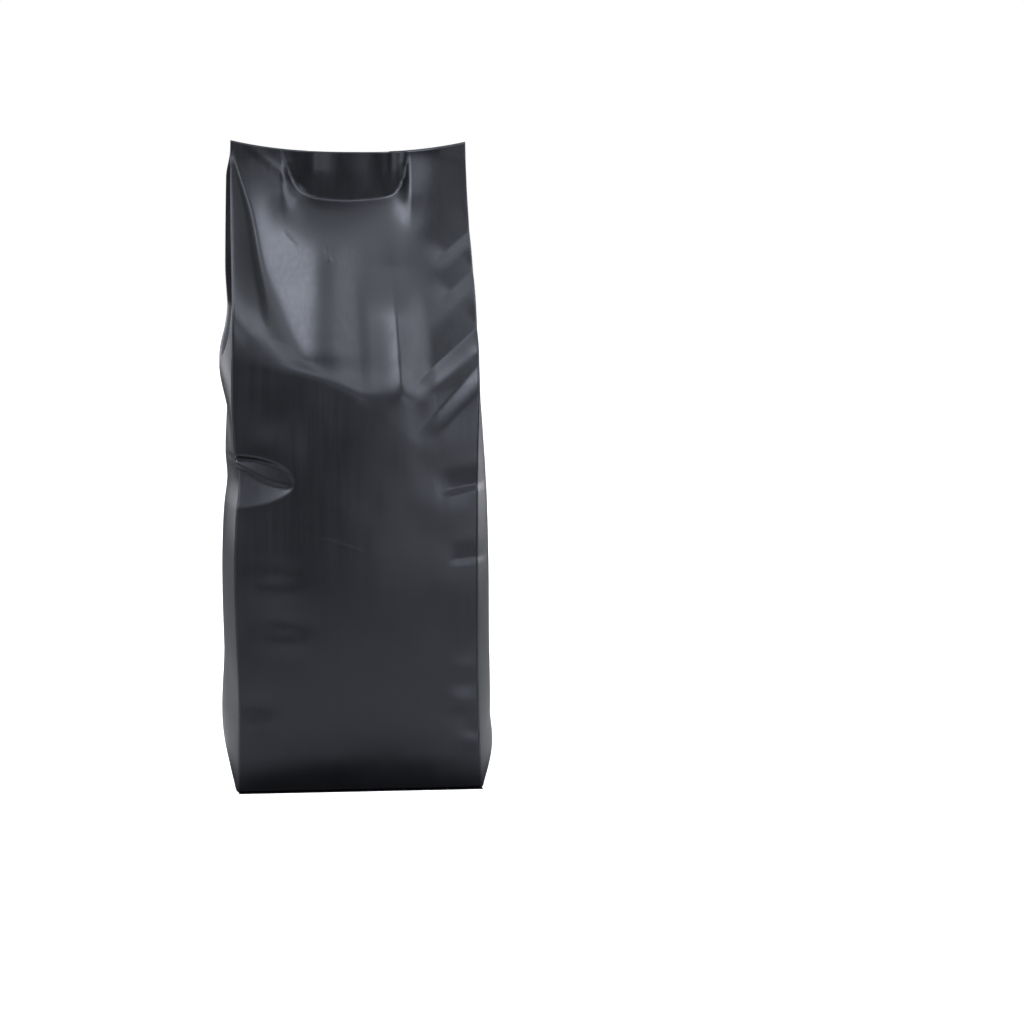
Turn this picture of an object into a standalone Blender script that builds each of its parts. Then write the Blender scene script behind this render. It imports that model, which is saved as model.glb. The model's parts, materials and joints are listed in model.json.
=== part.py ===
"""A filled side-gusset coffee bag, standing on its folded base.

Metres, +Z up, front towards -Y. The origin is on the floor, at the middle of the bag's box.
The bag is one web of film. It is modelled panel by panel, split at its creases and seams, with
a small gap at each of them. The closed top turns on a living hinge along X.
"""

import bmesh
import bpy
import math

MM = 0.001

# The web of film
FILM = 0.2 * MM  # thickness of one ply
GAP = 0.3 * MM  # clearance between neighbouring plies
PITCH = FILM + GAP  # from the middle of one ply to the middle of the next
HALF_WIDTH = 40 * MM  # half of the front panel
HALF_DEPTH = 25 * MM  # half of a gusset, from its outer crease to its centre crease
TOP_NARROWING = 1 * MM  # how much the half width shrinks on the way up
LEAN = -0.005  # sideways lean of the standing bag, per unit of height
LEAN_CENTRE = 100 * MM  # the height at which the leaning axis crosses the origin's plane

# The filled body
SHOULDER = 131 * MM  # where the front film leaves the beans
BACK_SHOULDER = 115 * MM  # where the back film leaves them
SHOULDER_BLEND = 7 * MM  # how gently both bend there
BELLY = 3 * MM  # how far the filled panels swell
BELLY_END = 1.15  # the swelling has gone at this share of the shoulder's height
GUSSET_SWELL = 4.6 * MM  # how far the gussets' centre creases stand out
FOOT_RISE = 18 * MM  # height over which the gussets swell to that
FOOT_SWELL = 0.5 * MM  # the swelling left at the very foot

# The gusset's fold, where it turns from swollen to tucked in
FOLD_AT_CENTRE = 138 * MM
FOLD_AT_EDGE = 158 * MM
FOLD_SLOPE = 1.2
FOLD_ROW = 1 * MM  # least height of the turning stretch, at the outer crease
TURN_REACH = 18 * MM  # how much taller that stretch is at the centre crease
FOLD_SHARE = 0.6  # share of the grid's rows below the fold
TURN_SHARE = 0.8  # and below the end of the turning stretch

# Columns and rows of the grids
FRONT_COLUMNS = 12
BACK_COLUMNS = 6
WALL_ROWS = 34
GUSSET_COLUMNS = 5
GUSSET_ROWS = 40
FIN_COLUMNS = 3
FIN_ROWS = 26
SEAL_COLUMNS = 16
TUCK_STEPS = 6

# The closed top
HINGE_Y = 7.5 * MM
HINGE_Z = 202.3 * MM
PANEL_TOP = HINGE_Z - 1.7 * MM  # leaves room for the folded seal
SEAL_FOOT = 0.3 * MM  # the lips start this far above the hinge
CORNER_HEIGHT = 212 * MM
EDGE_SAG = 3.5 * MM  # how far the top edge dips at its middle
SEAL_HALF_WIDTH = 38.8 * MM
TUCK_INNER = 15.5 * MM  # where the gussets' centre creases end in the top seal
LIP_OFFSET = 1.5 * PITCH  # the outer two of four plies

# The folded base
PANEL_FOOT = 0.5 * MM
GUSSET_FOOT = 2 * MM
FIN_WIDTH = 10 * MM
REAR_FLAP_STEP = 2 * PITCH  # the rear flap climbs over the bottom fin
FIN_FOOT = 3 * MM  # the back seam's lips start this far above the floor
FIN_TOP_GAP = 1 * MM  # and stop this far below the panels' top
RAMP_START = FIN_WIDTH + 2 * PITCH
RAMP_END = RAMP_START + 2 * MM
BASE_TUCK_Z = REAR_FLAP_STEP + FILM + GAP
BASE_TUCK_REACH = 23 * MM

# The beans
CHARGE_INSET = 1.3 * MM  # clearance from the film's middle
CHARGE_FOOT = BASE_TUCK_Z + FILM + GAP
CHARGE_EDGE = 118 * MM  # top of the heap at the panels
CHARGE_HEAP = 6 * MM  # extra height in the middle
CHARGE_CUTS = 7

FILM_COLOUR = (0.030, 0.030, 0.034, 1.0)
FILM_ROUGHNESS = 0.42
FILM_METALLIC = 0.3
BEAN_COLOUR = (0.085, 0.038, 0.020, 1.0)
BEAN_ROUGHNESS = 0.5


def smooth_max(a, b, width):
    """The larger of two values, rounded where they are within width of each other."""
    overlap = max(width - abs(a - b), 0.0) / width
    return max(a, b) + overlap * overlap * width / 4


def half_width(z):
    return HALF_WIDTH - TOP_NARROWING * z / CORNER_HEIGHT


def lean(z):
    return LEAN * (z - LEAN_CENTRE)


def belly(across, z, shoulder):
    """How far a filled panel swells, at across from -1 to 1 over its width."""
    rise = math.sin(math.pi * min(z / (BELLY_END * shoulder), 1.0))
    return BELLY * rise * (1 - across * across)


def front_y(across, z):
    """The middle of the front film: upright in front of the beans, leaning back above them."""
    filled = -HALF_DEPTH - belly(across, z, SHOULDER)
    rise = (z - SHOULDER) / (PANEL_TOP - SHOULDER)
    leaning = -HALF_DEPTH + rise * (HINGE_Y - LIP_OFFSET + HALF_DEPTH)
    return smooth_max(filled, leaning, SHOULDER_BLEND)


def back_y(across, z):
    """The middle of the back film, which leans forward above the beans."""
    filled = HALF_DEPTH + belly(across, z, BACK_SHOULDER)
    rise = (z - BACK_SHOULDER) / (PANEL_TOP - BACK_SHOULDER)
    leaning = HALF_DEPTH + rise * (HINGE_Y + LIP_OFFSET - HALF_DEPTH)
    return -smooth_max(-filled, -leaning, SHOULDER_BLEND)


def fold_height(inward):
    """Height of the fold where the gusset stops swelling out and starts to turn in."""
    return FOLD_AT_EDGE + inward * (FOLD_AT_CENTRE - FOLD_AT_EDGE)


def gusset_out(inward, z):
    """How far the gusset stands outside its outer creases, at inward from 0 to 1."""
    foot = FOOT_SWELL + (GUSSET_SWELL - FOOT_SWELL) * math.sin(math.pi / 2 * min(z / FOOT_RISE, 1.0))
    swollen = foot * math.sin(math.pi / 2 * inward)
    half_gap = (back_y(1, z) - front_y(1, z)) / 2
    tucked = -inward * math.sqrt(max(HALF_DEPTH**2 - half_gap**2, 0.0))
    turning = swollen - FOLD_SLOPE * (z - fold_height(inward))
    return min(swollen, max(tucked, turning))


def top_edge(x):
    """Height of the top edge, which dips between its corners."""
    return CORNER_HEIGHT - EDGE_SAG * (1 - (x / SEAL_HALF_WIDTH) ** 2)


def make_material(name, colour, roughness, metallic):
    material = bpy.data.materials.new(name)
    material.use_nodes = True
    shader = material.node_tree.nodes["Principled BSDF"]
    shader.inputs["Base Color"].default_value = colour
    shader.inputs["Roughness"].default_value = roughness
    shader.inputs["Metallic"].default_value = metallic
    return material


def make_film_material(name):
    return make_material(name + "_material", FILM_COLOUR, FILM_ROUGHNESS, FILM_METALLIC)


def add_object(name, bm, collection, parent, location, material=None):
    mesh = bpy.data.meshes.new(name)
    bm.to_mesh(mesh)
    bm.free()
    mesh.materials.append(material or make_film_material(name))
    obj = bpy.data.objects.new(name, mesh)
    obj.location = location
    obj.parent = parent
    collection.objects.link(obj)
    return obj


def add_film(name, columns, rows, place, collection, parent, location=(0, 0, 0)):
    """A ply of film: a grid laid out by place(u, v), with u and v from 0 to 1, then thickened."""
    bm = bmesh.new()
    bmesh.ops.create_grid(bm, x_segments=columns, y_segments=rows, size=0.5)
    for vert in bm.verts:
        vert.co = place(vert.co.x + 0.5, vert.co.y + 0.5)
    obj = add_object(name, bm, collection, parent, location)
    thicken = obj.modifiers.new("film", "SOLIDIFY")
    thicken.thickness = FILM
    thicken.offset = 0
    thicken.use_even_offset = True
    obj.data.shade_smooth()
    return obj


def add_plate(name, x_range, y_range, z_range, collection, parent):
    """A flat rectangular ply, as a box at its own middle."""
    middle = [(low + high) / 2 for low, high in (x_range, y_range, z_range)]
    size = [high - low for low, high in (x_range, y_range, z_range)]
    bm = bmesh.new()
    bmesh.ops.create_cube(bm, size=1)
    bmesh.ops.scale(bm, vec=size, verts=bm.verts)
    return add_object(name, bm, collection, parent, middle)


def add_wall(name, low, high, depth, columns, collection, parent):
    """A front or back panel between the fractions low and high of the half width."""

    def place(u, v):
        z = PANEL_FOOT + v * (PANEL_TOP - PANEL_FOOT)
        across = low + u * (high - low)
        return (across * half_width(z) + lean(z), depth(across, z), z)

    return add_film(name, columns, WALL_ROWS, place, collection, parent)


def add_gusset(name, side, facing, collection, parent):
    """One half of a gusset, on the side -1 or 1, next to the front (-1) or the back (1)."""

    def height(u, v):
        """Rows of the grid follow the fold, so that its edges stay sharp."""
        fold = fold_height(u)
        turned = fold + FOLD_ROW + u * TURN_REACH
        if v <= FOLD_SHARE:
            return GUSSET_FOOT + v / FOLD_SHARE * (fold - GUSSET_FOOT)
        if v <= TURN_SHARE:
            return fold + (v - FOLD_SHARE) / (TURN_SHARE - FOLD_SHARE) * (turned - fold)
        return turned + (v - TURN_SHARE) / (1 - TURN_SHARE) * (PANEL_TOP - turned)

    def place(u, v):
        z = height(u, v)
        depth = front_y if facing < 0 else back_y
        outer = depth(1, z) - facing * PITCH
        centre = (front_y(1, z) + back_y(1, z)) / 2 + facing * PITCH / 2
        x = side * (half_width(z) + gusset_out(u, z)) + lean(z)
        return (x, outer + u * (centre - outer), z)

    return add_film(name, GUSSET_COLUMNS, GUSSET_ROWS, place, collection, parent)


def add_back_fin_lip(name, start, ply, collection, parent):
    """One lip of the back seam, folded flat over the right half of the back."""
    top = PANEL_TOP - FIN_TOP_GAP

    def place(u, v):
        z = FIN_FOOT + v * (top - FIN_FOOT)
        x = start + u * (FIN_WIDTH - start)
        return (x + lean(z), back_y(x / half_width(z), z) + ply * PITCH, z)

    return add_film(name, FIN_COLUMNS, FIN_ROWS, place, collection, parent)


def add_seal_lip(name, offset, collection, hinge):
    """One lip of the top seal, standing on the hinge."""

    def place(u, v):
        x = (2 * u - 1) * SEAL_HALF_WIDTH
        z = HINGE_Z + SEAL_FOOT + v * (top_edge(x) - HINGE_Z - SEAL_FOOT)
        return (x + lean(z), offset, z - HINGE_Z)

    return add_film(name, SEAL_COLUMNS, 1, place, collection, hinge)


def add_seal_tuck(name, side, collection, hinge):
    """The gusset plies that are sealed together between the lips."""
    outline = []
    for i in range(TUCK_STEPS + 1):
        x = side * (TUCK_INNER + (SEAL_HALF_WIDTH - TUCK_INNER) * i / TUCK_STEPS)
        outline.append((x, top_edge(x)))
    foot = HINGE_Z + SEAL_FOOT
    corners = [(side * SEAL_HALF_WIDTH, foot), (side * TUCK_INNER, foot)]
    bm = bmesh.new()
    verts = [bm.verts.new((x + lean(z), -PITCH / 2, z - HINGE_Z)) for x, z in outline + corners]
    face = bm.faces.new(verts)
    raised = bmesh.ops.extrude_face_region(bm, geom=[face])
    moved = [item for item in raised["geom"] if isinstance(item, bmesh.types.BMVert)]
    bmesh.ops.translate(bm, verts=moved, vec=(0, PITCH, 0))
    bmesh.ops.recalc_face_normals(bm, faces=bm.faces)
    return add_object(name, bm, collection, hinge, (0, 0, 0))


def add_base_tuck(name, side, collection, parent):
    """The triangular fold of a gusset, flat on top of the base flaps."""
    edge = HALF_DEPTH - 2 * PITCH
    outer = HALF_WIDTH - PITCH
    curve = bpy.data.curves.new(name, "CURVE")
    curve.dimensions = "2D"
    curve.fill_mode = "BOTH"
    curve.extrude = FILM / 2
    spline = curve.splines.new("POLY")
    spline.points.add(2)
    corners = [(outer, -edge), (outer, edge), (outer - BASE_TUCK_REACH, 0)]
    for point, (x, y) in zip(spline.points, corners):
        point.co = (side * x, y, 0, 1)
    spline.use_cyclic_u = True
    curve.materials.append(make_film_material(name))
    obj = bpy.data.objects.new(name, curve)
    obj.location = (lean(0), 0, BASE_TUCK_Z + FILM / 2)
    obj.parent = parent
    collection.objects.link(obj)
    return obj


def add_rear_flap(name, collection, parent):
    """The rear half of the base, stepping up over the folded bottom fin."""
    stations = [GAP, RAMP_START, RAMP_END, HALF_DEPTH + FILM / 2]
    heights = [REAR_FLAP_STEP, REAR_FLAP_STEP, 0, 0]
    reach = HALF_WIDTH - FILM / 2

    steps = len(stations) - 1

    def place(u, v):
        row = round(v * steps)
        return ((2 * u - 1) * reach, stations[row], heights[row])

    location = (lean(0), 0, FILM / 2)
    return add_film(name, 1, steps, place, collection, parent, location)


def add_charge(name, collection, parent):
    """The beans as one heap that fills the body up to the shoulder."""
    bm = bmesh.new()
    bmesh.ops.create_cube(bm, size=2)
    bmesh.ops.subdivide_edges(bm, edges=bm.edges, cuts=CHARGE_CUTS, use_grid_fill=True)
    for vert in bm.verts:
        u, v, w = vert.co
        mound = CHARGE_HEAP * (1 - u * u) * (1 - v * v)
        z = CHARGE_FOOT + (w + 1) / 2 * (CHARGE_EDGE + mound - CHARGE_FOOT)
        reach = half_width(z) + gusset_out(1 - abs(v), z) - CHARGE_INSET
        front = front_y(u, z) + CHARGE_INSET
        back = back_y(u, z) - CHARGE_INSET
        vert.co = (u * reach + lean(z), front + (v + 1) / 2 * (back - front), z)
    material = make_material(name + "_material", BEAN_COLOUR, BEAN_ROUGHNESS, 0.0)
    obj = add_object(name, bm, collection, parent, (0, 0, 0), material)
    obj.data.shade_smooth()
    return obj


def main():
    for obj in list(bpy.data.objects):
        bpy.data.objects.remove(obj, do_unlink=True)
    bag = bpy.data.collections.new("side_gusset_coffee_bag")
    bpy.context.scene.collection.children.link(bag)
    stand = bpy.data.objects.new("bag_frame", None)
    hinge = bpy.data.objects.new("top_seal_hinge", None)
    hinge.parent = stand
    hinge.location = (0, HINGE_Y, HINGE_Z)
    for empty in (stand, hinge):
        bag.objects.link(empty)

    # body panels
    add_wall("front_panel", -1, 1, front_y, FRONT_COLUMNS, bag, stand)
    seam = GAP / 2 / HALF_WIDTH
    add_wall("back_panel_left", -1, -seam, back_y, BACK_COLUMNS, bag, stand)
    add_wall("back_panel_right", seam, 1, back_y, BACK_COLUMNS, bag, stand)
    for side, word in ((-1, "left"), (1, "right")):
        add_gusset(word + "_gusset_front", side, -1, bag, stand)
        add_gusset(word + "_gusset_rear", side, 1, bag, stand)
        add_seal_tuck("top_seal_" + word + "_tuck", side, bag, hinge)
        add_base_tuck(word + "_base_tuck", side, bag, stand)

    # seams
    add_back_fin_lip("back_seal_inner_lip", 2 * GAP, 1, bag, stand)
    add_back_fin_lip("back_seal_outer_lip", GAP, 2, bag, stand)
    add_seal_lip("top_seal_front_lip", -LIP_OFFSET, bag, hinge)
    add_seal_lip("top_seal_rear_lip", LIP_OFFSET, bag, hinge)

    # folded base
    reach = HALF_WIDTH - FILM / 2
    across = (lean(0) - reach, lean(0) + reach)
    floor_ply = (0, FILM)
    add_plate("base_front_flap", across, (-HALF_DEPTH - FILM / 2, -GAP / 2), floor_ply, bag, stand)
    add_plate("bottom_seal_front_lip", across, (GAP / 2, FIN_WIDTH), floor_ply, bag, stand)
    second_ply = (PITCH, PITCH + FILM)
    add_plate("bottom_seal_rear_lip", across, (PITCH, FIN_WIDTH), second_ply, bag, stand)
    add_rear_flap("base_rear_flap", bag, stand)

    # contents
    add_charge("bean_charge", bag, stand)


main()
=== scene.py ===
import json
import math

import bmesh
import bpy
import numpy as np
from mathutils import Matrix, Vector


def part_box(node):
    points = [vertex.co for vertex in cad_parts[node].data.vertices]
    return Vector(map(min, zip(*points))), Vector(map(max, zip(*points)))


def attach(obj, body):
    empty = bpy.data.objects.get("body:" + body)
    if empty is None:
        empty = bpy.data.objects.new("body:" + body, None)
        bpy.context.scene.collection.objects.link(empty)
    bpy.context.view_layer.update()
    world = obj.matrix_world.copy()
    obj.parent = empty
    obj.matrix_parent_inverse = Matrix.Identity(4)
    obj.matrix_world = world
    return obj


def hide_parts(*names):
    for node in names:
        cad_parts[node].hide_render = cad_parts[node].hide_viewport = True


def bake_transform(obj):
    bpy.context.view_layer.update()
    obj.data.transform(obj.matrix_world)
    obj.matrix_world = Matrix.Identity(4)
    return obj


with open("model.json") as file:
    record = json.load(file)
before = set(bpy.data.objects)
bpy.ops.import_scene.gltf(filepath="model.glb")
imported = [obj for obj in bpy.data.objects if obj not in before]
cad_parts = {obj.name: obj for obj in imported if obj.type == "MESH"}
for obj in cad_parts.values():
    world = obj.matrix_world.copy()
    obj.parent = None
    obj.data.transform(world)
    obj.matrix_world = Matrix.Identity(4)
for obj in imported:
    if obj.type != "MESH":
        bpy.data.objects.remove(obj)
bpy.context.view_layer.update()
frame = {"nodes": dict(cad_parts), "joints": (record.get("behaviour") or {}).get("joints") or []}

# Lengths are in millimetres until a mesh is written. Heights (z) are above the floor, "across"
# (s) is measured from the bag's own axis, positive to the right, and depth (y) is along +Y, so
# the front film has negative depths. A name that ends in _FADE holds the two values between
# which fade() goes from 0 to 1; the first may be the larger. A side is -1 for left, 1 for right.
MM = 0.001


def box_mm(node):
    low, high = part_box(node)
    return np.array(low) / MM, np.array(high) / MM


# ---------------------------------------------------------------- sizes taken from the frame
HINGE = frame["joints"][0]
HINGE_Y = HINGE["pos_m"][1] / MM
CORNER = box_mm("top_seal_front_lip")[1][2]
HALF_DEPTH = -box_mm("base_front_flap")[0][1]
HALF_WIDTH = (box_mm("base_front_flap")[1][0] - box_mm("base_front_flap")[0][0]) / 2

# ---------------------------------------------------------------- sizes: the film's outline
FILM = 0.14  # the laminate's thickness
PLY = 0.2  # from one ply's middle to the next in a seal
LEAN = -0.005  # how far the bag leans to the right for each unit of height
LEAN_CENTRE = 100.0  # the height that the lean leaves in place
EDGE_DIP = 3.6  # the top edge is lower at its middle
EDGE_DIP_POWER = 2.6
# (height, distance from the axis) of the front film's two side creases
LEFT_CREASE = ((0, 40.0), (20, 39.6), (93, 39.7), (101, 38.9), (110, 40.0), (165, 40.2), (200, 39.7),
               (212, 39.4))
RIGHT_CREASE = ((0, 39.4), (20, 38.6), (76, 38.2), (110, 38.6), (149, 39.8), (168, 39.5),
                (182, 38.9), (196, 38.3), (212, 38.0))
SEALED_RADIUS = 0.12  # of the side creases in the top seal
RADIUS_GAIN = 0.4  # how much rounder they are in the body
RADIUS_FADE = (203, 185)

# ---------------------------------------------------------------- sizes: the closed top
SEAL_BOW = 2.2  # how far the closed top's right part stands forward of its middle
SEAL_BOW_FADE = (16, 30)
SEAL_BOW_RISE_FADE = (174, 203)
SEAL_FOOT = 205.0  # beside the pocket the films part below this height
SEAL_PARTING = 0.2  # how far they part for each unit below it
SEAL_ROUND = 0.5  # how softly the front film lies down on the seal
# (across, reach, height) of the closed top's forward waves
SEAL_WAVES = ((-12.0, 5.0, 0.9), (0.5, 7.0, 0.5), (13.5, 4.0, 1.1))
SEAL_WAVES_FADE = (192, 203)
TUCK_INNER = 15.5  # where the gussets' centre creases end in the top seal
TUCK_EDGE_FADE = (TUCK_INNER - 2.2, TUCK_INNER - 5.2)
TUCK_RISE_FADE = (188, 200)

# ---------------------------------------------------------------- sizes: the pocket
POCKET_CENTRE = -1.2
POCKET_TOP = 208.4  # the height where the pocket's steep ends run into the top edge
POCKET_FLOOR = 192.0  # the lowest point of the pocket's lower edge
POCKET_DEPTH = 6.5
POCKET_WINDOW_FADE = (20.5, 15.5)  # outwards from its centre
POCKET_LEAN = 0.09  # how far its back wall leans forward for each unit of height
POCKET_LEAN_SPAN = (-4, 22)  # the depths below POCKET_TOP over which it leans
DISH_FOOT = 170.0  # the film sinks towards the pocket from here up
DISH_LIMIT = 1.35  # where the sinking stops, with 0 at DISH_FOOT and 1 at POCKET_FLOOR
DISH_POWER = 3
DISH_REACH = 28.0  # half the width of the sinking low down
ROUND_REACH = 22.0  # from its centre to its round left end
ABRUPT_REACH = 21.0  # from its centre to its abrupt right end
ABRUPT_POWER = 4.5
ABRUPT_FALL = 0.025  # the share of its depth that it loses for each unit to the right
STEEP_FADE = (POCKET_FLOOR - 14, POCKET_FLOOR + 3)

# ---------------------------------------------------------------- sizes: the front film
BELLY = 3.4  # how far the front film swells over the beans
BELLY_TOP = 150.0
BELLY_POWER = 0.8
FOOT_CURL = 1.3  # how far the front film turns in at the floor
FOOT_CURL_HEIGHT = 13.0
# (across, height) of the line where the front film turns back from the beans
SHOULDER_LINE = ((-41, 150.5), (-26, 147), (-17, 142.5), (-6, 135), (5, 129.5), (12.3, 125.8),
                 (18.5, 128), (30, 131.5), (41, 134.5))
SHOULDER_ROUND = 3.2  # the width over which the film turns there
SHOULDER_ROUND_GAIN = 8.0  # how much rounder the shoulder is at the right
SHOULDER_ROUND_FADE = (13, 26)
TONGUE_DEPTH = 33.3  # how far the tongue leans from the closed top to the shoulder
TONGUE_POWER = 1.2
# the tongue's sides lie back from its middle, by a quarter of this halfway down
TONGUE_BOW_LEFT = 20.0
TONGUE_BOW_RIGHT = 12.0
# (height, across) of the valley between the puffed left edge and the tongue
VALLEY = ((131, -5.0), (141, -18.9), (147.5, -22.6), (166, -28.0), (189, -32.5), (208, -38.6),
          (213, -39.6))
VALLEY_DIP = 5.4  # how far the film sinks along it
VALLEY_ROUND = 4.0
VALLEY_REACH = 9.0
VALLEY_TOP_FADE = (206, 160)
VALLEY_FOOT_FADE = (128, 141)
LOBE_FOOT = 155.0  # the left edge starts to lean back here
LOBE_SLOPE = 0.60
LOBE_PROUD = 0.5  # how far it stands before the bag's half depth
LOBE_BEND = 8.0
LOBE_SEAL_PLIES = 1.5  # how far it stays before the middle of the closed top
LOBE_SEAL_ROUND = 1.0
LOBE_EDGE = -40.5
LOBE_LEAST_WIDTH = 0.8
LOBE_POWER = 1.15
LOBE_ROUND = 4.0
LOBE_SIDE_FADE = (0.62, 1.0)  # shares of its width
LOBE_TOP_FADE = (POCKET_TOP + 1, POCKET_TOP - 6)

# ---------------------------------------------------------------- sizes: creases and dents
CREST_AT = -9.5  # a soft fold down the tongue, left of its middle
CREST_REACH = 8.0
CREST_HEIGHT = 1.8
CREST_FADE = (206, 168)
# (start, end, left flank, right flank, height) of raised lines that run down
STREAK = ((12.6, 166), (13.8, 127.5), 13.0, 12.0, 3.6)
RIDGES = (((-23, 182), (-19.3, 177.5), 1.2, 1.2, 0.12),
          ((-13.7, 83.6), (-1.8, 79.9), 0.8, 0.8, 0.10),
          ((-9.0, 177.5), (-8.2, 173.0), 1.3, 0.9, 0.22),
          ((-33, 210), (-17.5, 196.5), 2.5, 2.5, 0.45))
# (inner end, end at the right edge, width below, width above, depth) of creases that run up
GROOVES = (((27, 172.5), (39.0, 183), 4.5, 12, 1.0),
           ((28, 159.5), (39.6, 169.8), 4.5, 10, 1.0),
           ((16.5, 131.5), (39.9, 151.0), 6.0, 11, 2.2),
           ((19.0, 117.5), (39.4, 138.8), 6.0, 13, 1.4),
           ((26, 98.2), (38.4, 100.6), 2.6, 8, 0.6),
           ((29, 75.8), (38.4, 76.8), 2.4, 7, 0.3))
RIDGE_START_FADE = (-0.15, 0.35)  # shares of a raised line's length
RIDGE_END_FADE = (1.3, 1.0)
# (across, height, half length, half height, depth, tilt) of soft waves in the film
SWELLS = ((-27, 70, 9, 5, 0.9, -4),
          (-25, 53, 8, 4.5, 0.9, -6),
          (-34, 26, 6, 5, 0.8, 0),
          (-29, 118, 8, 8, 1.1, 0),
          (33, 27, 5, 4, -0.6, 0),
          (34, 38, 5, 4, -0.4, 0),
          (36, 18, 4, 3, 0.4, 0),
          (28, 98, 9, 9, 0.6, 0))
DENT_EDGE = -41.5
DENT_REACH = 20.5
DENT_Z = 101.8
DENT_HALF_HEIGHT = 8.6
DENT_DEPTH = 3.6
DENT_POWER = 0.7
DENT_RIM_STEP = 1.7
DENT_RIM_OVERLAP = 0.2
DENT_RETURN = 0.75  # the share of its depth that the film has come out again at the crease
DENT_LEAST_HEIGHT = 0.5
# (across, height) of the second crease, inside the dent
DENT_CREASE = ((-41.5, 108.5), (-36, 105), (-31, 102.2), (-25, 100.4), (-20, 99.4))
DENT_CREASE_STEP = 1.8
DENT_CREASE_BELOW_RIM = 0.3
# (height, cell, seed) of the film's small unevenness
FRONT_NOISE = ((0.35, 26, 21), (0.08, 12, 2), (0.03, 6, 3))
FRONT_NOISE_FADE = (203, 186)
FLOOR_FADE = (0, 8)  # details begin a little above the floor

# ---------------------------------------------------------------- sizes: the back
BACK_BELLY = 2.6
BACK_BELLY_TOP = 135
BACK_NOISE = (0.25, 17, 5)
BACK_MIDDLE_FADE = (6, 14)
BACK_FOLD = 204  # the back film leans back from the seal below this height
BACK_FOLD_DROP = 9  # lower in the middle
BACK_SLOPE = 0.245
BACK_SLOPE_DROP = 0.02  # less in the middle
BACK_BEND = 6.0
BACK_TOP_NOISE = (0.35, 14, 8)
BACK_TOP_NOISE_FADE = (195, 180)
BACK_SHOULDER_ROUND = 5.0
FIN_WIDTH = 10.0
FIN_START = {"inner": 0.4, "outer": 0.0}
FIN_FOOT = 0.6
FIN_LIFT = 0.5  # how far the fin's free edge lifts
FIN_LIFT_FADE = (202, 190)
FIN_NOISE = (21, 11)  # (cell, seed)
FIN_NOISE_AT = 3

# ---------------------------------------------------------------- sizes: the gussets
# (height, how far the gusset stands out of the side) where beans fill it
GUSSET_SWELL = {-1: ((0, 0.2), (4, 0.5), (9, 2.4), (14, 3.8), (45, 3.5), (78, 3.2), (100, 2.9),
                     (107, 2.4), (115, 1.2), (122, 0.1), (126, 0.5), (131, 1.7), (137, 3.1),
                     (141, 3.3), (147, 1.8), (153, 0.9)),
                1: ((0, 0.2), (5, 2.0), (10, 5.4), (25, 6.4), (53, 6.5), (80, 6.2), (103, 5.2),
                    (122, 3.4), (132, 2.2), (150, 1.2))}
GUSSET_SWELL_SLANT = 9  # how much higher the same swelling is at the back crease than halfway
GUSSET_SWELL_POWER = 0.9
# the height where a gusset turns inwards, at its centre and at its side creases
FOLD_CENTRE = {-1: 137.5, 1: 127.0}
FOLD_EDGE = {-1: 158.5, 1: 150.0}
FOLD_SLOPE = 1.25
FOLD_ROUND = 0.8
FOLD_LEAST_ROUND = 0.01
TUCKED_FADE = (0.2, 1.2)  # how far in a gusset counts as tucked between the other films
BACK_CREASE_OUT = 1.2  # how far the back crease shows beyond the front one, above the beans
BACK_CREASE_SHARE = {-1: 1.0, 1: -0.2}
BACK_CREASE_FADE = (150, 172)
BACK_CREASE_TOP_FADE = (209, 200)
CREASE_INSET = 0.6  # how far in from a crease the faces' depth is read

# ---------------------------------------------------------------- sizes: the sheets' grids
FOOT = 0.3  # the film's lower edge, above the floor
FOOT_TURN = 0.6  # the radius that the front film turns in with at its lower edge
FOOT_TURN_SHARE = 0.98
TURN_ANGLES = (90, 60, 30)  # of the columns round a side crease
EDGE_STEPS = (0.0, 0.01, 0.02, 0.035, 0.05, 0.065, 0.08)  # columns near it, in half widths
FACE_HALF_COLUMNS = 66
FRONT_ROWS = 380
FRONT_EDGE_REACH = {-1: 39.4, 1: 38.2}  # from the axis to the top edge's corners
BACK_ROWS = 300
BACK_EDGE_REACH = 39
GUSSET_HALF_COLUMNS = 22
GUSSET_ROWS = 330
GUSSET_SPACING = 1.3  # above 1, columns are closer at the side creases
GUSSET_TUCK = 24.0  # how far in the top edge of a gusset reaches
FIN_COLUMNS = 14
FIN_ROWS = 260

# ---------------------------------------------------------------- sizes: the beans
BEAN_LOW = 5.5  # the heap's foot
BEAN_HIGH = 112.0  # the top of its sides
BEAN_HEAP = 8.0  # how much higher its middle is
BEAN_INSET = 3.8  # from the film to the middle of a bean
BEAN_LOW_INSET = 2.0  # more near the floor
BEAN_LOW_FADE = (18, 10)
BEAN_TOP_INSET = 2.0  # more on the heap's top
BEAN_GAP = 0.5  # least distance from the film
BEAN_HALF = (4.4, 3.2, 2.0)  # half a bean's length, width and height
BEAN_SPREAD = (0.88, 1.08)  # its size varies between these shares
BEAN_LEVELS = (BEAN_LOW + 5, BEAN_HIGH - 1, 5.6)  # (first, end, step) of the rings of beans
BEAN_LEVEL_JITTER = 1.2
BEANS_AROUND = 34
BEANS_ON_TOP = 90
BEANS_TOP_SHARE = 0.9  # the part of the heap's top that they cover
BEAN_SINK = 0.5  # how deep they lie in it
BEAN_SEED = 4
FILLED = (8, 150)  # the heights where the film is read for the beans
CORE_INSET = 4.6
# shares of the way down the heap's core: its top and foot are drawn in with these powers
CORE_TOP = 0.25
CORE_TOP_POWER = 0.7
CORE_FOOT = 0.2
CORE_FOOT_POWER = 0.6
CORE_WALL_FOOT = 0.8
CORE_WALL_SPAN = 0.55
CORE_GRID = (96, 64)
BEAN_GRID = (12, 8)

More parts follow.
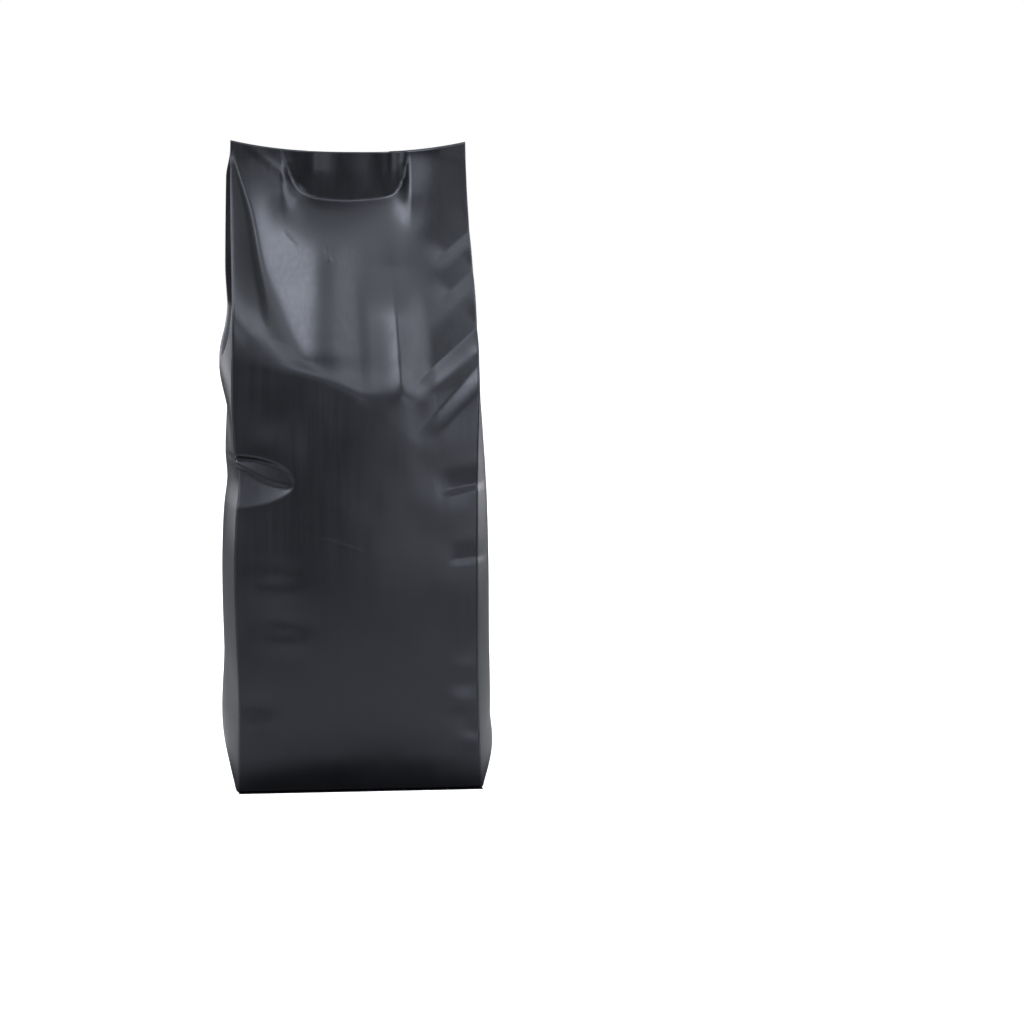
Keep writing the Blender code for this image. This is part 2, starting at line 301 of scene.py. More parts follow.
# ---------------------------------------------------------------- light and camera, in metres
LIGHT_TARGET = (0, 0, 0.13)
LIGHT_COLOUR = (0.95, 0.96, 1.0)
# (name, place, width and height, radiance)
LIGHTS = (("left_top_softbox", (-0.62, -0.60, 0.95), (0.8, 0.7), 5.3),
          ("left_softbox", (-0.85, -0.80, 0.35), (0.7, 0.8), 1.6),
          ("right_softbox", (0.50, -1.05, 0.15), (0.6, 0.6), 2.3),
          ("right_top_softbox", (0.80, -0.45, 0.75), (0.7, 0.7), 2.5),
          ("top_softbox", (0.0, -0.50, 1.05), (1.3, 0.6), 1.0),
          ("left_rim_softbox", (-0.85, 0.75, 0.40), (0.7, 0.8), 2.6),
          ("right_rim_softbox", (0.85, 0.75, 0.40), (0.7, 0.8), 3.2))
FLOOR_SIZE = 12
FLOOR_GREY = 0.80
FLOOR_GLOW = 0.72
# (distance from the bag's middle, tone) of the floor as the film reflects it, with painted
# shade and light: a painted shadow next to the bag, painted light further out, then darker far off
FLOOR_PAINTED_TONES = ((0.045, 0.04), (0.10, 0.54), (0.30, 0.21), (0.90, 0.03))
# (axis, from, to, light at from, light at to): the room gets lighter overhead and behind the bag
ROOM_TERMS = (("Z", -0.05, 0.80, 0.035, 0.85), ("Y", 0.10, 0.90, 0.0, 0.45))
ROOM_COLOUR = (0.93, 0.96, 1.0, 1)
CAMERA_AT = (-0.0662, -0.930, 0.1751)
CAMERA_TURN = (90 - 5.25, -0.17, -7.28)
CAMERA_LENS = 98.9
CAMERA_SENSOR = 36


# ---------------------------------------------------------------- small maths
def ease(x):
    x = np.clip(x, 0.0, 1.0)
    return x * x * (3 - 2 * x)


def fade(x, start, end):
    """0 at start, 1 at end, smooth between; start may be above end."""
    return ease((x - start) / (end - start))


def smooth_max(a, b, width):
    overlap = np.maximum(width - np.abs(a - b), 0.0) / width
    return np.maximum(a, b) + overlap**3 * width / 6


def smooth_min(a, b, width):
    return -smooth_max(-a, -b, width)


def through(knots, x):
    """A smooth curve through (x, value) knots."""
    xs, ys = np.array(knots, dtype=float).T
    slopes = np.gradient(ys, xs)
    x = np.clip(x, xs[0], xs[-1])
    i = np.clip(np.searchsorted(xs, x) - 1, 0, len(xs) - 2)
    gap = xs[i + 1] - xs[i]
    t = (x - xs[i]) / gap
    t2, t3 = t * t, t * t * t
    start = (2 * t3 - 3 * t2 + 1) * ys[i] + (t3 - 2 * t2 + t) * gap * slopes[i]
    return start + (3 * t2 - 2 * t3) * ys[i + 1] + (t3 - t2) * gap * slopes[i + 1]


def soft_noise(x, z, cell, seed):
    """Smooth noise from -1 to 1 with lumps about one cell across, from a table that repeats."""
    size = 64
    table = np.random.RandomState(seed).uniform(-1, 1, (size, size))
    gx, gz = x / cell + 31.5, z / cell + 7.3
    ix, iz = np.floor(gx).astype(int), np.floor(gz).astype(int)
    tx, tz = ease(gx - ix), ease(gz - iz)
    right, above = (ix + 1) % size, (iz + 1) % size
    ix, iz = ix % size, iz % size
    low = table[ix, iz] * (1 - tx) + table[right, iz] * tx
    high = table[ix, above] * (1 - tx) + table[right, above] * tx
    return low * (1 - tz) + high * tz


def step_in(x, width):
    """0 before x = 0, 1 after width: a crisp edge."""
    return ease(x / width)


def bell(x):
    return np.exp(-(x**2))


# ---------------------------------------------------------------- outline of the film
def lean(z):
    return LEAN * (z - LEAN_CENTRE)


def top_edge(s):
    return CORNER - EDGE_DIP * (1 - np.abs(s / HALF_WIDTH) ** EDGE_DIP_POWER)


def crease_x(side, z):
    """How far out the front film's crease runs on that side."""
    return through(LEFT_CREASE if side < 0 else RIGHT_CREASE, z)


def back_crease_x(side, z):
    out = BACK_CREASE_OUT * fade(z, *BACK_CREASE_FADE) * fade(z, *BACK_CREASE_TOP_FADE)
    return crease_x(side, z) + BACK_CREASE_SHARE[side] * out


def crease_radius(z):
    return SEALED_RADIUS + RADIUS_GAIN * fade(z, *RADIUS_FADE)


# ---------------------------------------------------------------- the closed top
def pocket_window(s):
    return fade(np.abs(s - POCKET_CENTRE), *POCKET_WINDOW_FADE)


def seal_depth(s, z):
    """The middle of the closed top: flat at its sides, leaning forward and waved in between."""
    below = np.clip(POCKET_TOP - z, *POCKET_LEAN_SPAN)
    waves = 0
    for at, reach, height in SEAL_WAVES:
        waves = waves + height * bell((s - at) / reach)
    waves = waves * fade(z, *SEAL_WAVES_FADE)
    return HINGE_Y - SEAL_BOW * fade(s, *SEAL_BOW_FADE) + pocket_window(s) * (POCKET_LEAN * below - waves)


def ply_clearance(s, z):
    """From the seal's middle to the outer films: two plies more where the gussets are."""
    return PLY / 2 + PLY * (1 - fade(np.abs(s), *TUCK_EDGE_FADE) * fade(z, *TUCK_RISE_FADE))


# ---------------------------------------------------------------- the back film
def back_depth(s, z):
    across = s / HALF_WIDTH
    middle = 1 - fade(np.abs(s), *BACK_MIDDLE_FADE)
    height, cell, seed = BACK_NOISE
    filled = HALF_DEPTH + BACK_BELLY * np.sin(np.pi * np.clip(z / BACK_BELLY_TOP, 0, 1)) * (1 - across**2)
    filled = filled + height * soft_noise(s, z, cell, seed) * (1 - across**4)
    start = BACK_FOLD - BACK_FOLD_DROP * middle
    slope = BACK_SLOPE - BACK_SLOPE_DROP * middle
    leaning = seal_depth(s, z) + ply_clearance(s, z) + slope * smooth_max(start - z, 0, BACK_BEND)
    height, cell, seed = BACK_TOP_NOISE
    leaning = leaning + height * soft_noise(s, z, cell, seed) * fade(z, *BACK_TOP_NOISE_FADE)
    return smooth_min(filled, leaning, BACK_SHOULDER_ROUND)


# ---------------------------------------------------------------- the front film
def pocket_sink(s, z):
    """The film sinks towards the pocket: widely and softly low down, then with steep ends, the
    left one round and the right one abrupt."""
    up = np.clip((z - DISH_FOOT) / (POCKET_FLOOR - DISH_FOOT), 0, DISH_LIMIT)
    off = np.abs(s - POCKET_CENTRE)
    soft = ease(1 - (off / DISH_REACH) ** 2)
    round_end = ease(1 - (off / ROUND_REACH) ** 2)
    abrupt_end = np.clip(1 - ABRUPT_FALL * off, 0, 1) * ease(1 - (off / ABRUPT_REACH) ** ABRUPT_POWER)
    ends = np.where(s < POCKET_CENTRE, round_end, abrupt_end)
    return POCKET_DEPTH * up**DISH_POWER * (soft + (ends - soft) * fade(z, *STEEP_FADE))


def ridge(s, z, start, end, flank_one, flank_two, height):
    """A raised line in the film from start to end, with flanks of two widths: the first is the
    one that lies left of a line that runs down, and below a line that runs to the right."""
    (s0, z0), (s1, z1) = start, end
    ds, dz = s1 - s0, z1 - z0
    length = math.hypot(ds, dz)
    along = ((s - s0) * ds + (z - z0) * dz) / length**2
    off = ((s - s0) * dz - (z - z0) * ds) / length
    out = np.clip(np.abs(off) / np.where(off > 0, flank_one, flank_two), 0, 1)
    profile = (1 - ease(out) + (1 - out) ** 2) / 2
    return -height * profile * fade(along, *RIDGE_START_FADE) * fade(along, *RIDGE_END_FADE)


def tongue_depth(s, z):
    """The front film where it leans back from the beans to the closed top."""
    down = np.clip((POCKET_TOP - z) / (POCKET_TOP - through(SHOULDER_LINE, s)), 0, None)
    most = np.where(s < 0, TONGUE_BOW_LEFT, TONGUE_BOW_RIGHT)
    bow = most * (s / HALF_WIDTH) ** 2 * down * np.clip(1 - down, 0, 1)
    past = np.maximum(s - through(VALLEY, z), 0)
    dip = VALLEY_DIP * np.exp((VALLEY_ROUND - np.hypot(past, VALLEY_ROUND)) / VALLEY_REACH)
    dip = dip * fade(z, *VALLEY_TOP_FADE) * fade(z, *VALLEY_FOOT_FADE)
    seal = HINGE_Y - SEAL_BOW * fade(s, *SEAL_BOW_FADE) * fade(z, *SEAL_BOW_RISE_FADE)
    plain = seal - ply_clearance(s, z) - TONGUE_DEPTH * down**TONGUE_POWER + bow + dip
    crest = CREST_HEIGHT * bell((s - CREST_AT) / CREST_REACH) * fade(z, *CREST_FADE)
    free = plain + pocket_sink(s, z) + ridge(s, z, *STREAK) - crest
    limit = seal_depth(s, z) - ply_clearance(s, z)
    limit = limit + SEAL_PARTING * (1 - pocket_window(s)) * np.maximum(SEAL_FOOT - z, 0)
    return smooth_min(free, limit, SEAL_ROUND)


def lobe_drop(s, z):
    """How far the puffed strip along the left edge stands before the tongue."""
    upright = -HALF_DEPTH - LOBE_PROUD
    crease = smooth_max(upright, upright + LOBE_SLOPE * (z - LOBE_FOOT), LOBE_BEND)
    crease = smooth_min(crease, HINGE_Y - LOBE_SEAL_PLIES * PLY, LOBE_SEAL_ROUND)
    valley_at = through(VALLEY, z)
    valley = tongue_depth(valley_at, z)
    along = np.clip((s - LOBE_EDGE) / np.maximum(valley_at - LOBE_EDGE, LOBE_LEAST_WIDTH), 0, 1)
    lobe = crease + (valley - crease) * along**LOBE_POWER
    drop = smooth_max(tongue_depth(s, z) - lobe, 0, LOBE_ROUND)
    return drop * (1 - fade(along, *LOBE_SIDE_FADE)) * fade(z, *LOBE_TOP_FADE)


def swell(s, z, at, height, length, half, depth, tilt):
    """A soft wave whose middle looks up when the depth is positive and down when it is not."""
    turn = math.radians(tilt)
    off = ((s - at) * math.cos(turn) + (z - height) * math.sin(turn)) / length
    rise = ((z - height) * math.cos(turn) - (s - at) * math.sin(turn)) / half
    return depth * rise * np.exp(-rise * rise - off * off)


def dent(s, z):
    """A half-round dent open to the left edge. The film drops in under its rim, comes out
    slowly, drops in again under a second crease and comes out to the lower rim."""
    u = np.clip((s - DENT_EDGE) / DENT_REACH, -0.1, 1)
    half = DENT_HALF_HEIGHT * np.sqrt(np.clip(1 - u * u, 0, 1))
    top, bottom = DENT_Z + half, DENT_Z - half
    crease = np.minimum(through(DENT_CREASE, s), top - DENT_CREASE_BELOW_RIM)
    upper_height = np.maximum(top - crease, DENT_LEAST_HEIGHT)
    lower_height = np.maximum(crease - bottom, DENT_LEAST_HEIGHT)
    upper = 1 - DENT_RETURN * np.clip((top - z) / upper_height, 0, 1)
    lower = np.clip((z - bottom) / lower_height, 0, 1)
    mixed = upper + (lower - upper) * step_in(crease + DENT_CREASE_STEP / 2 - z, DENT_CREASE_STEP)
    inside = step_in(top + DENT_RIM_OVERLAP - z, DENT_RIM_STEP) * (z > bottom) * (u < 1)
    return DENT_DEPTH * mixed * inside * np.clip(1 - u, 0, 1) ** DENT_POWER


def front_details(s, z):
    depth = 0
    for height, cell, seed in FRONT_NOISE:
        depth = depth + height * soft_noise(s, z, cell, seed)
    depth = depth * fade(z, *FRONT_NOISE_FADE)
    for values in RIDGES:
        depth = depth + ridge(s, z, *values)
    depth = depth + dent(s, z)
    for start, end, below, above, groove in GROOVES:
        depth = depth + ridge(s, z, start, end, below, above, -groove)
    for values in SWELLS:
        depth = depth + swell(s, z, *values)
    return depth * fade(z, *FLOOR_FADE)


def front_depth(s, z):
    across = s / HALF_WIDTH
    belly = BELLY * np.sin(np.pi * np.clip(z / BELLY_TOP, 0, 1)) ** BELLY_POWER * (1 - across**2)
    filled = -HALF_DEPTH - belly + FOOT_CURL * np.clip(1 - z / FOOT_CURL_HEIGHT, 0, 1) ** 2
    width = SHOULDER_ROUND + SHOULDER_ROUND_GAIN * fade(s, *SHOULDER_ROUND_FADE)
    return smooth_max(filled, tongue_depth(s, z) - lobe_drop(s, z), width) + front_details(s, z)


# ---------------------------------------------------------------- gussets
def gusset_shape(side, t, z):
    """Position on a gusset: t runs from -1 at the front crease through 0 to 1 at the back."""
    inward = 1 - np.abs(t)
    x_front, x_back = crease_x(side, z), back_crease_x(side, z)
    r = crease_radius(z)
    y_front = front_depth(side * (x_front - CREASE_INSET), z) + r
    y_back = back_depth(side * (x_back - CREASE_INSET), z) - r
    middle = (y_front + y_back) / 2
    swollen = through(GUSSET_SWELL[side], z - GUSSET_SWELL_SLANT * t)
    swollen = swollen * np.sin(np.pi / 2 * inward) ** GUSSET_SWELL_POWER
    half_gap = (y_back - y_front) / 2
    tucked = -inward * np.sqrt(np.maximum(HALF_DEPTH**2 - half_gap**2, 0))
    fold = FOLD_EDGE[side] + inward * (FOLD_CENTRE[side] - FOLD_EDGE[side])
    turning = smooth_max(tucked, swollen - FOLD_SLOPE * (z - fold), FOLD_ROUND)
    out = smooth_min(swollen, turning, FOLD_ROUND * inward + FOLD_LEAST_ROUND)
    x_crease = x_front + (x_back - x_front) * (t + 1) / 2
    x = side * (x_crease + out)
    edge = np.where(t < 0, y_front, y_back)
    y = edge + (middle - edge) * inward
    # between the front and back films, and a ply apart where its own halves lie together
    inside = fade(-out, *TUCKED_FADE)
    apart = PLY * inside
    low = front_depth(x, z) + PLY + np.where(t > 0, apart, 0)
    high = back_depth(x, z) - PLY - np.where(t < 0, apart, 0)
    y = y + (np.clip(y, low, high) - y) * inside
    return x, y


# ---------------------------------------------------------------- meshes
def add_sheet(name, columns, rows, place):
    """A sheet of film: a grid whose points place(i, j) gives in millimetres, then thickened."""
    bm = bmesh.new()
    bmesh.ops.create_grid(bm, x_segments=columns, y_segments=rows, size=0.5)
    mesh = bpy.data.meshes.new(name)
    bm.to_mesh(mesh)
    bm.free()
    flat = np.empty(len(mesh.vertices) * 3)
    mesh.vertices.foreach_get("co", flat)
    flat = flat.reshape(-1, 3)
    i = np.rint((flat[:, 0] + 0.5) * columns).astype(int)
    j = np.rint((flat[:, 1] + 0.5) * rows).astype(int)
    s, y, z = place(i, j)
    mesh.vertices.foreach_set("co", (np.stack([s + lean(z), y, z], axis=1) * MM).ravel())
    mesh.update()
    mesh.shade_smooth()
    obj = bpy.data.objects.new(name, mesh)
    bpy.context.scene.collection.objects.link(obj)
    thicken = obj.modifiers.new("film", "SOLIDIFY")
    thicken.thickness = FILM * MM
    thicken.offset = 0
    return obj


def face_columns():
    """Fractions of the half width from -1 to 1, with turns round the crease at both ends:
    (fraction of the flat part, angle of the turn)."""
    side = [(1.0, angle) for angle in TURN_ANGLES] + [(1 - step, 0) for step in EDGE_STEPS]
    flat = 1 - EDGE_STEPS[-1]
    core = np.linspace(-flat, flat, 2 * FACE_HALF_COLUMNS + 1)[1:-1]
    left = [(-fraction, angle) for fraction, angle in side]
    columns = left + [(fraction, 0) for fraction in core] + side[::-1]
    fractions, angles = np.array(columns).T
    return fractions, np.radians(angles)


def add_front():
    fractions, angles = face_columns()

    def place(i, j):
        f, a = fractions[i], angles[i]
        on_left = f < 0
        side = np.sign(f)
        edge = top_edge(f * np.where(on_left, FRONT_EDGE_REACH[-1], FRONT_EDGE_REACH[1]))
        z = FOOT + j / FRONT_ROWS * (edge - FOOT)
        r = crease_radius(z)
        flat = np.where(on_left, crease_x(-1, z), crease_x(1, z)) - r
        s = f * flat + side * r * np.sin(a)
        y = front_depth(f * flat, z) + r * (1 - np.cos(a))
        turned = np.clip(1 - (z - FOOT) / FOOT_TURN, 0, 1)
        return s, y + FOOT_TURN * (1 - np.sqrt(1 - FOOT_TURN_SHARE * turned**2)), z

    return add_sheet("front_film", len(fractions) - 1, FRONT_ROWS, place)


def add_gusset(side, name):
    half = np.linspace(0, 1, GUSSET_HALF_COLUMNS + 1)
    ts = np.concatenate([-1 + half**GUSSET_SPACING, 1 - (1 - half[1:]) ** GUSSET_SPACING])

    def place(i, j):
        t = ts[i]
        edge = top_edge(side * (HALF_WIDTH - (1 - np.abs(t)) * GUSSET_TUCK))
        z = FOOT + j / GUSSET_ROWS * (edge - FOOT)
        x, y = gusset_shape(side, t, z)
        return x, y, z

    return add_sheet(name, len(ts) - 1, GUSSET_ROWS, place)


def add_back(side, name):
    fractions, angles = face_columns()
    keep = fractions >= 0
    fractions, angles = fractions[keep], angles[keep]

    def place(i, j):
        f, a = fractions[i], angles[i]
        z = FOOT + j / BACK_ROWS * (top_edge(f * BACK_EDGE_REACH) - FOOT)
        r = crease_radius(z)
        flat = back_crease_x(side, z) - r
        s = side * (f * flat + r * np.sin(a))
        return s, back_depth(side * f * flat, z) - r * (1 - np.cos(a)), z

    return add_sheet(name, len(fractions) - 1, BACK_ROWS, place)


def add_back_fin(layer, ply):
    start = FIN_START[layer]

    def place(i, j):
        u = i / FIN_COLUMNS
        s = start + u * (FIN_WIDTH - start)
        z = FIN_FOOT + j / FIN_ROWS * (top_edge(s) - FIN_FOOT)
        lift = FIN_LIFT * u**2 * (1 + soft_noise(0 * s + FIN_NOISE_AT, z, *FIN_NOISE))
        lift = lift * fade(z, *FIN_LIFT_FADE) * fade(z, *FLOOR_FADE)
        return s, back_depth(s, z) + ply * PLY + lift, z

    return add_sheet("back_fin_" + layer, FIN_COLUMNS, FIN_ROWS, place)


# ---------------------------------------------------------------- the beans
def inside_point(angle, z, inset):
    """A point inside the film: the angle goes once round the bag, starting at the right."""
    u, v = np.cos(angle), np.sin(angle)
    scale = 1 / np.maximum(np.abs(u), np.abs(v))
    u, v = u * scale, v * scale
    side = np.where(u < 0, -1, 1)
    z_film = np.clip(z, *FILLED)
    left_x, _ = gusset_shape(-1, np.clip(v, -1, 1), z_film)
    right_x, _ = gusset_shape(1, np.clip(v, -1, 1), z_film)
    reach = np.where(side < 0, -left_x, right_x) - inset
    s = side * reach * np.abs(u)
    front = front_depth(s, z_film) + inset
    back = back_depth(s, z_film) - inset
    y = (front + back) / 2 + (back - front) / 2 * v
    return s, y


def smallest_first(face):
    start = face.index(min(face))
    return face[start:] + face[:start]


def sphere_mesh(columns, rows):
    """A unit ball's points and faces. Blender gives the faces in an order that changes from run
    to run, so they are sorted."""
    bm = bmesh.new()
    bmesh.ops.create_uvsphere(bm, u_segments=columns, v_segments=rows, radius=1)
    points = np.array([v.co for v in bm.verts])
    faces = [[v.index for v in f.verts] for f in bm.faces]
    bm.free()
    return points, sorted(smallest_first(face) for face in faces)


def fill_core(points):
    """Moves a unit ball's points out to the film, less an inset. The share of the way down from
    its top sets a point's height, and how far it is drawn in to round the heap and the foot."""
    angle = np.arctan2(points[:, 1], points[:, 0])
    down = np.arccos(np.clip(points[:, 2], -1, 1)) / math.pi
    foot = np.clip((1 - down) / CORE_FOOT, 0, 1) ** CORE_FOOT_POWER
    shrink = foot * np.clip(down / CORE_TOP, 0, 1) ** CORE_TOP_POWER
    z = BEAN_LOW + (BEAN_HIGH - BEAN_LOW) * np.clip((CORE_WALL_FOOT - down) / CORE_WALL_SPAN, 0, 1)
    s, y = inside_point(angle, z, CORE_INSET)
    z = z + BEAN_HEAP * (1 - shrink) * (down < 0.5)
    return np.stack([s * shrink + lean(z), y * shrink, z], axis=1)


def keep_inside(points):
    """Presses the points that come too near the film back from it."""
    s, y, z = points[:, 0] - lean(points[:, 2]), points[:, 1], points[:, 2]
    front, back = front_depth(s, z) + BEAN_GAP, back_depth(s, z) - BEAN_GAP
    y = np.clip(y, front, back)
    t = np.clip((2 * y - front - back) / (back - front), -1, 1)
    left, right = gusset_shape(-1, t, z)[0] + BEAN_GAP, gusset_shape(1, t, z)[0] - BEAN_GAP
    return np.stack([np.clip(s, left, right) + lean(z), y, z], axis=1)


def bean_places(draw):
    """Middles of the beans round the heap and on its top, and which of them face a gusset."""
    levels = np.arange(*BEAN_LEVELS)
    count = len(levels) * BEANS_AROUND
    z = np.repeat(levels, BEANS_AROUND) + draw.uniform(-BEAN_LEVEL_JITTER, BEAN_LEVEL_JITTER, count)
    start = np.repeat(draw.uniform(0, 1, len(levels)), BEANS_AROUND)
    angle = 2 * math.pi * (np.tile(np.arange(BEANS_AROUND), len(levels)) + start) / BEANS_AROUND
    s, y = inside_point(angle, z, BEAN_INSET + BEAN_LOW_INSET * fade(z, *BEAN_LOW_FADE))
    around = np.stack([s + lean(z), y, z], axis=1)
    on_side = np.abs(np.cos(angle)) > np.abs(np.sin(angle))
    angle = draw.uniform(0, 2 * math.pi, BEANS_ON_TOP)
    share = np.sqrt(draw.uniform(0, BEANS_TOP_SHARE, BEANS_ON_TOP))
    s, y = inside_point(angle, np.full(BEANS_ON_TOP, BEAN_HIGH), BEAN_INSET + BEAN_TOP_INSET)
    z = BEAN_HIGH + BEAN_HEAP * (1 - share) - BEAN_SINK
    on_top = np.stack([s * share + lean(z), y * share, z], axis=1)
    return around, on_top, on_side


def add_bean_fill():
    """The beans: a solid heap that follows the film, with whole beans over all of its surface."""
    draw = np.random.RandomState(BEAN_SEED)
    around, on_top, on_side = bean_places(draw)
    core, faces = sphere_mesh(*CORE_GRID)
    all_points, all_faces = [fill_core(core)], list(faces)
    count = len(core)
    ball, ball_faces = sphere_mesh(*BEAN_GRID)
    for k, place in enumerate(np.concatenate([around, on_top])):
        half = np.array(BEAN_HALF) * draw.uniform(*BEAN_SPREAD)
        turn = Matrix.Rotation(draw.uniform(0, 2 * math.pi), 3, "Z")
        if k < len(around):
            turn = Matrix.Rotation(math.pi / 2, 3, "Y" if on_side[k] else "X") @ turn
        all_points.append(place + (ball * half) @ np.array(turn).T)
        all_faces.extend([i + count for i in face] for face in ball_faces)
        count += len(ball)
    mesh = bpy.data.meshes.new("bean_fill")
    mesh.from_pydata(keep_inside(np.concatenate(all_points)) * MM, [], all_faces)
    mesh.shade_smooth()
    obj = bpy.data.objects.new("bean_fill", mesh)
    bpy.context.scene.collection.objects.link(obj)
    return obj


# ---------------------------------------------------------------- shader nodes
def new_material(name):
    material = bpy.data.materials.new(name)
    material.use_nodes = True
    nodes = material.node_tree.nodes
    return material, nodes, material.node_tree.links, nodes["Principled BSDF"]


def add_noise(nodes, links, vector, scale, detail):
    noise = nodes.new("ShaderNodeTexNoise")
    noise.inputs["Scale"].default_value = scale
    noise.inputs["Detail"].default_value = detail
    links.new(vector, noise.inputs["Vector"])
    return noise.outputs["Fac"]


def add_bump(nodes, links, height, strength, distance):
    bump = nodes.new("ShaderNodeBump")
    bump.inputs["Strength"].default_value = strength
    bump.inputs["Distance"].default_value = distance
    links.new(height, bump.inputs["Height"])
    return bump


def add_math(nodes, links, operation, first, second):
    node = nodes.new("ShaderNodeMath")
    node.operation = operation
    links.new(first, node.inputs[0])
    links.new(second, node.inputs[1])
    return node.outputs["Value"]


def add_range(nodes, links, value, start, end, low, high):
    node = nodes.new("ShaderNodeMapRange")
    node.inputs["From Min"].default_value = start
    node.inputs["From Max"].default_value = end
    node.inputs["To Min"].default_value = low
    node.inputs["To Max"].default_value = high
    links.new(value, node.inputs["Value"])
    return node.outputs["Result"]


def show_to_camera(nodes, links, reflected, seen, output):
    """Gives the camera one shader and every reflection and bounce of light the other."""
    path = nodes.new("ShaderNodeLightPath")
    mix = nodes.new("ShaderNodeMixShader")
    links.new(path.outputs["Is Camera Ray"], mix.inputs["Fac"])
    links.new(reflected, mix.inputs[1])
    links.new(seen, mix.inputs[2])
    links.new(mix.outputs["Shader"], output.inputs["Surface"])


# ---------------------------------------------------------------- materials
def film_material():
    """Satin black laminate with fine upright lines, clouding and a fine grain."""
    material, nodes, links, shader = new_material("black_satin_film")
    place = nodes.new("ShaderNodeTexCoord").outputs["Object"]
    stretch = nodes.new("ShaderNodeMapping")
    stretch.inputs["Scale"].default_value = (1.0, 1.0, 0.02)
    links.new(place, stretch.inputs["Vector"])
    lines = add_noise(nodes, links, stretch.outputs["Vector"], scale=900, detail=3)
    cloud = add_noise(nodes, links, place, scale=45, detail=4)
    grain = add_noise(nodes, links, place, scale=3500, detail=2)

    colour = nodes.new("ShaderNodeMix")
    colour.data_type = "RGBA"
    colour.inputs["A"].default_value = (0.0030, 0.0031, 0.0038, 1)
    colour.inputs["B"].default_value = (0.0060, 0.0062, 0.0074, 1)
    links.new(cloud, colour.inputs["Factor"])
    links.new(colour.outputs["Result"], shader.inputs["Base Color"])

    both = add_math(nodes, links, "MULTIPLY", lines, cloud)
    rough = add_range(nodes, links, both, start=0.12, end=0.40, low=0.29, high=0.37)
    links.new(rough, shader.inputs["Roughness"])

    line_bump = add_bump(nodes, links, lines, strength=0.25, distance=0.00003)
    grain_bump = add_bump(nodes, links, grain, strength=0.2, distance=0.00001)
    links.new(line_bump.outputs["Normal"], grain_bump.inputs["Normal"])
    links.new(grain_bump.outputs["Normal"], shader.inputs["Normal"])
    shader.inputs["Specular IOR Level"].default_value = 0.66
    shader.inputs["Specular Tint"].default_value = (0.84, 0.88, 1.0, 1)
    return material


def bean_material():
    material, nodes, links, shader = new_material("roasted_bean")
    place = nodes.new("ShaderNodeTexCoord").outputs["Object"]
    mottle = add_noise(nodes, links, place, scale=260, detail=5)
    ramp = nodes.new("ShaderNodeValToRGB")
    ramp.color_ramp.elements[0].position = 0.35
    ramp.color_ramp.elements[0].color = (0.030, 0.012, 0.006, 1)
    ramp.color_ramp.elements[1].position = 0.70
    ramp.color_ramp.elements[1].color = (0.105, 0.045, 0.022, 1)
    links.new(mottle, ramp.inputs["Fac"])
    links.new(ramp.outputs["Color"], shader.inputs["Base Color"])
    bump = add_bump(nodes, links, mottle, strength=0.5, distance=0.0003)
    links.new(bump.outputs["Normal"], shader.inputs["Normal"])
    shader.inputs["Roughness"].default_value = 0.42
    return material


def grey(tone):
    return (tone, tone, tone, 1)


def pale_floor_material():
    """Pale where it is seen. Where it is only reflected, its tone by distance is painted light and
    shade: a painted shadow next to the bag, painted light a little way out, darker far off."""
    material, nodes, links, shader = new_material("pale_floor")
    shader.inputs["Base Color"].default_value = grey(FLOOR_GREY)
    shader.inputs["Roughness"].default_value = 0.9
    shader.inputs["Emission Color"].default_value = grey(1)
    shader.inputs["Emission Strength"].default_value = FLOOR_GLOW
    away = nodes.new("ShaderNodeVectorMath")
    away.operation = "LENGTH"
    links.new(nodes.new("ShaderNodeTexCoord").outputs["Object"], away.inputs[0])
    # painted shade and light by distance: a painted shadow next to the bag, lighter further out, darker
    # far off
    shade = nodes.new("ShaderNodeValToRGB")
    painted_tones = shade.color_ramp.elements
    for element, (distance, tone) in zip(painted_tones, (FLOOR_PAINTED_TONES[0], FLOOR_PAINTED_TONES[-1])):
        element.position = distance
        element.color = grey(tone)
    for distance, tone in FLOOR_PAINTED_TONES[1:-1]:
        painted_tones.new(distance).color = grey(tone)
    links.new(away.outputs["Value"], shade.inputs["Fac"])
    painted_floor_diffuse = nodes.new("ShaderNodeBsdfDiffuse")
    links.new(shade.outputs["Color"], painted_floor_diffuse.inputs["Color"])
    show_to_camera(nodes, links, painted_floor_diffuse.outputs["BSDF"], shader.outputs["BSDF"], nodes["Material Output"])
    return material


# ---------------------------------------------------------------- stage
def add_light(name, location, size, radiance):
    data = bpy.data.lights.new(name, "AREA")
    data.shape = "RECTANGLE"
    data.size, data.size_y = size
    data.energy = radiance * math.pi * size[0] * size[1]
    data.color = LIGHT_COLOUR
    light = bpy.data.objects.new(name, data)
    light.location = location
    towards = Vector(LIGHT_TARGET) - Vector(location)
    light.rotation_euler = towards.to_track_quat("-Z", "Y").to_euler()
    light.visible_camera = False
    bpy.context.scene.collection.objects.link(light)


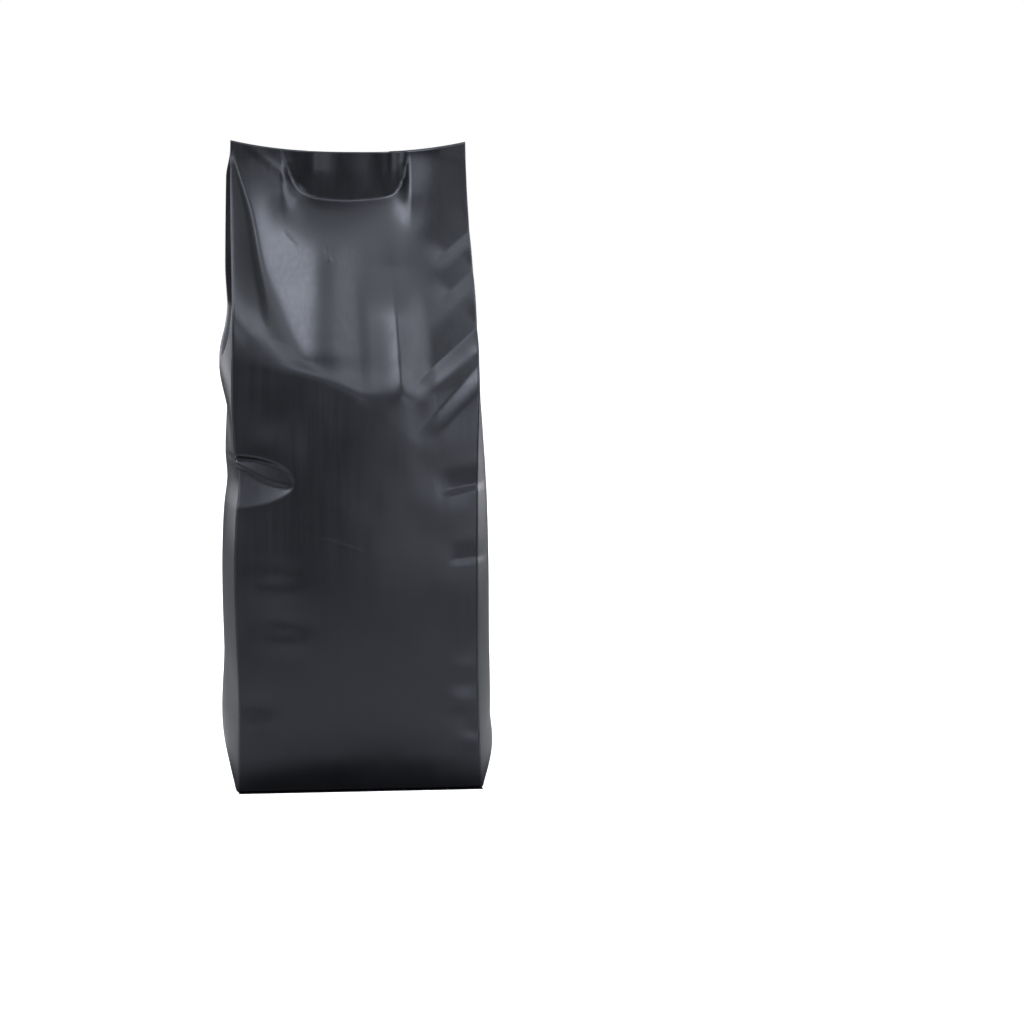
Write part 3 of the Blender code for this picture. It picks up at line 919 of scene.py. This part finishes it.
def add_world():
    """White to the camera; to the bag a soft room, lighter overhead and behind it."""
    world = bpy.data.worlds.new("studio")
    bpy.context.scene.world = world
    world.use_nodes = True
    nodes, links = world.node_tree.nodes, world.node_tree.links
    split = nodes.new("ShaderNodeSeparateXYZ")
    links.new(nodes.new("ShaderNodeTexCoord").outputs["Generated"], split.inputs["Vector"])
    terms = [add_range(nodes, links, split.outputs[axis], *values) for axis, *values in ROOM_TERMS]
    room = nodes["Background"]
    links.new(add_math(nodes, links, "ADD", *terms), room.inputs["Strength"])
    room.inputs["Color"].default_value = ROOM_COLOUR
    seen = nodes.new("ShaderNodeBackground")
    seen.inputs["Color"].default_value = grey(1)
    show_to_camera(nodes, links, room.outputs["Background"], seen.outputs["Background"],
                   nodes["World Output"])


def add_stage():
    bpy.ops.mesh.primitive_plane_add(size=FLOOR_SIZE)
    floor = bpy.context.object
    floor.name = "floor"
    floor.data.materials.append(pale_floor_material())
    for values in LIGHTS:
        add_light(*values)
    add_world()
    bpy.context.scene.view_settings.view_transform = "Standard"


def add_camera():
    data = bpy.data.cameras.new("camera")
    data.sensor_width = CAMERA_SENSOR
    data.lens = CAMERA_LENS
    camera = bpy.data.objects.new("camera", data)
    camera.location = CAMERA_AT
    camera.rotation_mode = "XYZ"
    camera.rotation_euler = [math.radians(angle) for angle in CAMERA_TURN]
    bpy.context.scene.collection.objects.link(camera)
    bpy.context.scene.camera = camera


def finish_film(piece, material, nodes):
    piece.data.materials.append(material)
    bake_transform(piece)
    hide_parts(*nodes)


def build_bag():
    film = film_material()
    beans = bean_material()
    finish_film(add_front(), film, ["front_panel", "top_seal_front_lip"])
    for side, word in ((-1, "left"), (1, "right")):
        gusset = add_gusset(side, word + "_gusset_film")
        nodes = [word + "_gusset_front", word + "_gusset_rear", "top_seal_" + word + "_tuck"]
        finish_film(gusset, film, nodes)
        back = add_back(side, "back_film_" + word)
        nodes = ["back_panel_" + word] + (["top_seal_rear_lip"] if side < 0 else [])
        finish_film(back, film, nodes)
    finish_film(add_back_fin("inner", 1), film, ["back_seal_inner_lip"])
    finish_film(add_back_fin("outer", 2), film, ["back_seal_outer_lip"])
    heap = add_bean_fill()
    heap.data.materials.append(beans)
    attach(heap, "bag")
    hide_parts("bean_charge")
    for node in frame["nodes"].values():
        if not node.hide_render:
            node.data.materials.clear()
            node.data.materials.append(film)


build_bag()
add_stage()
add_camera()
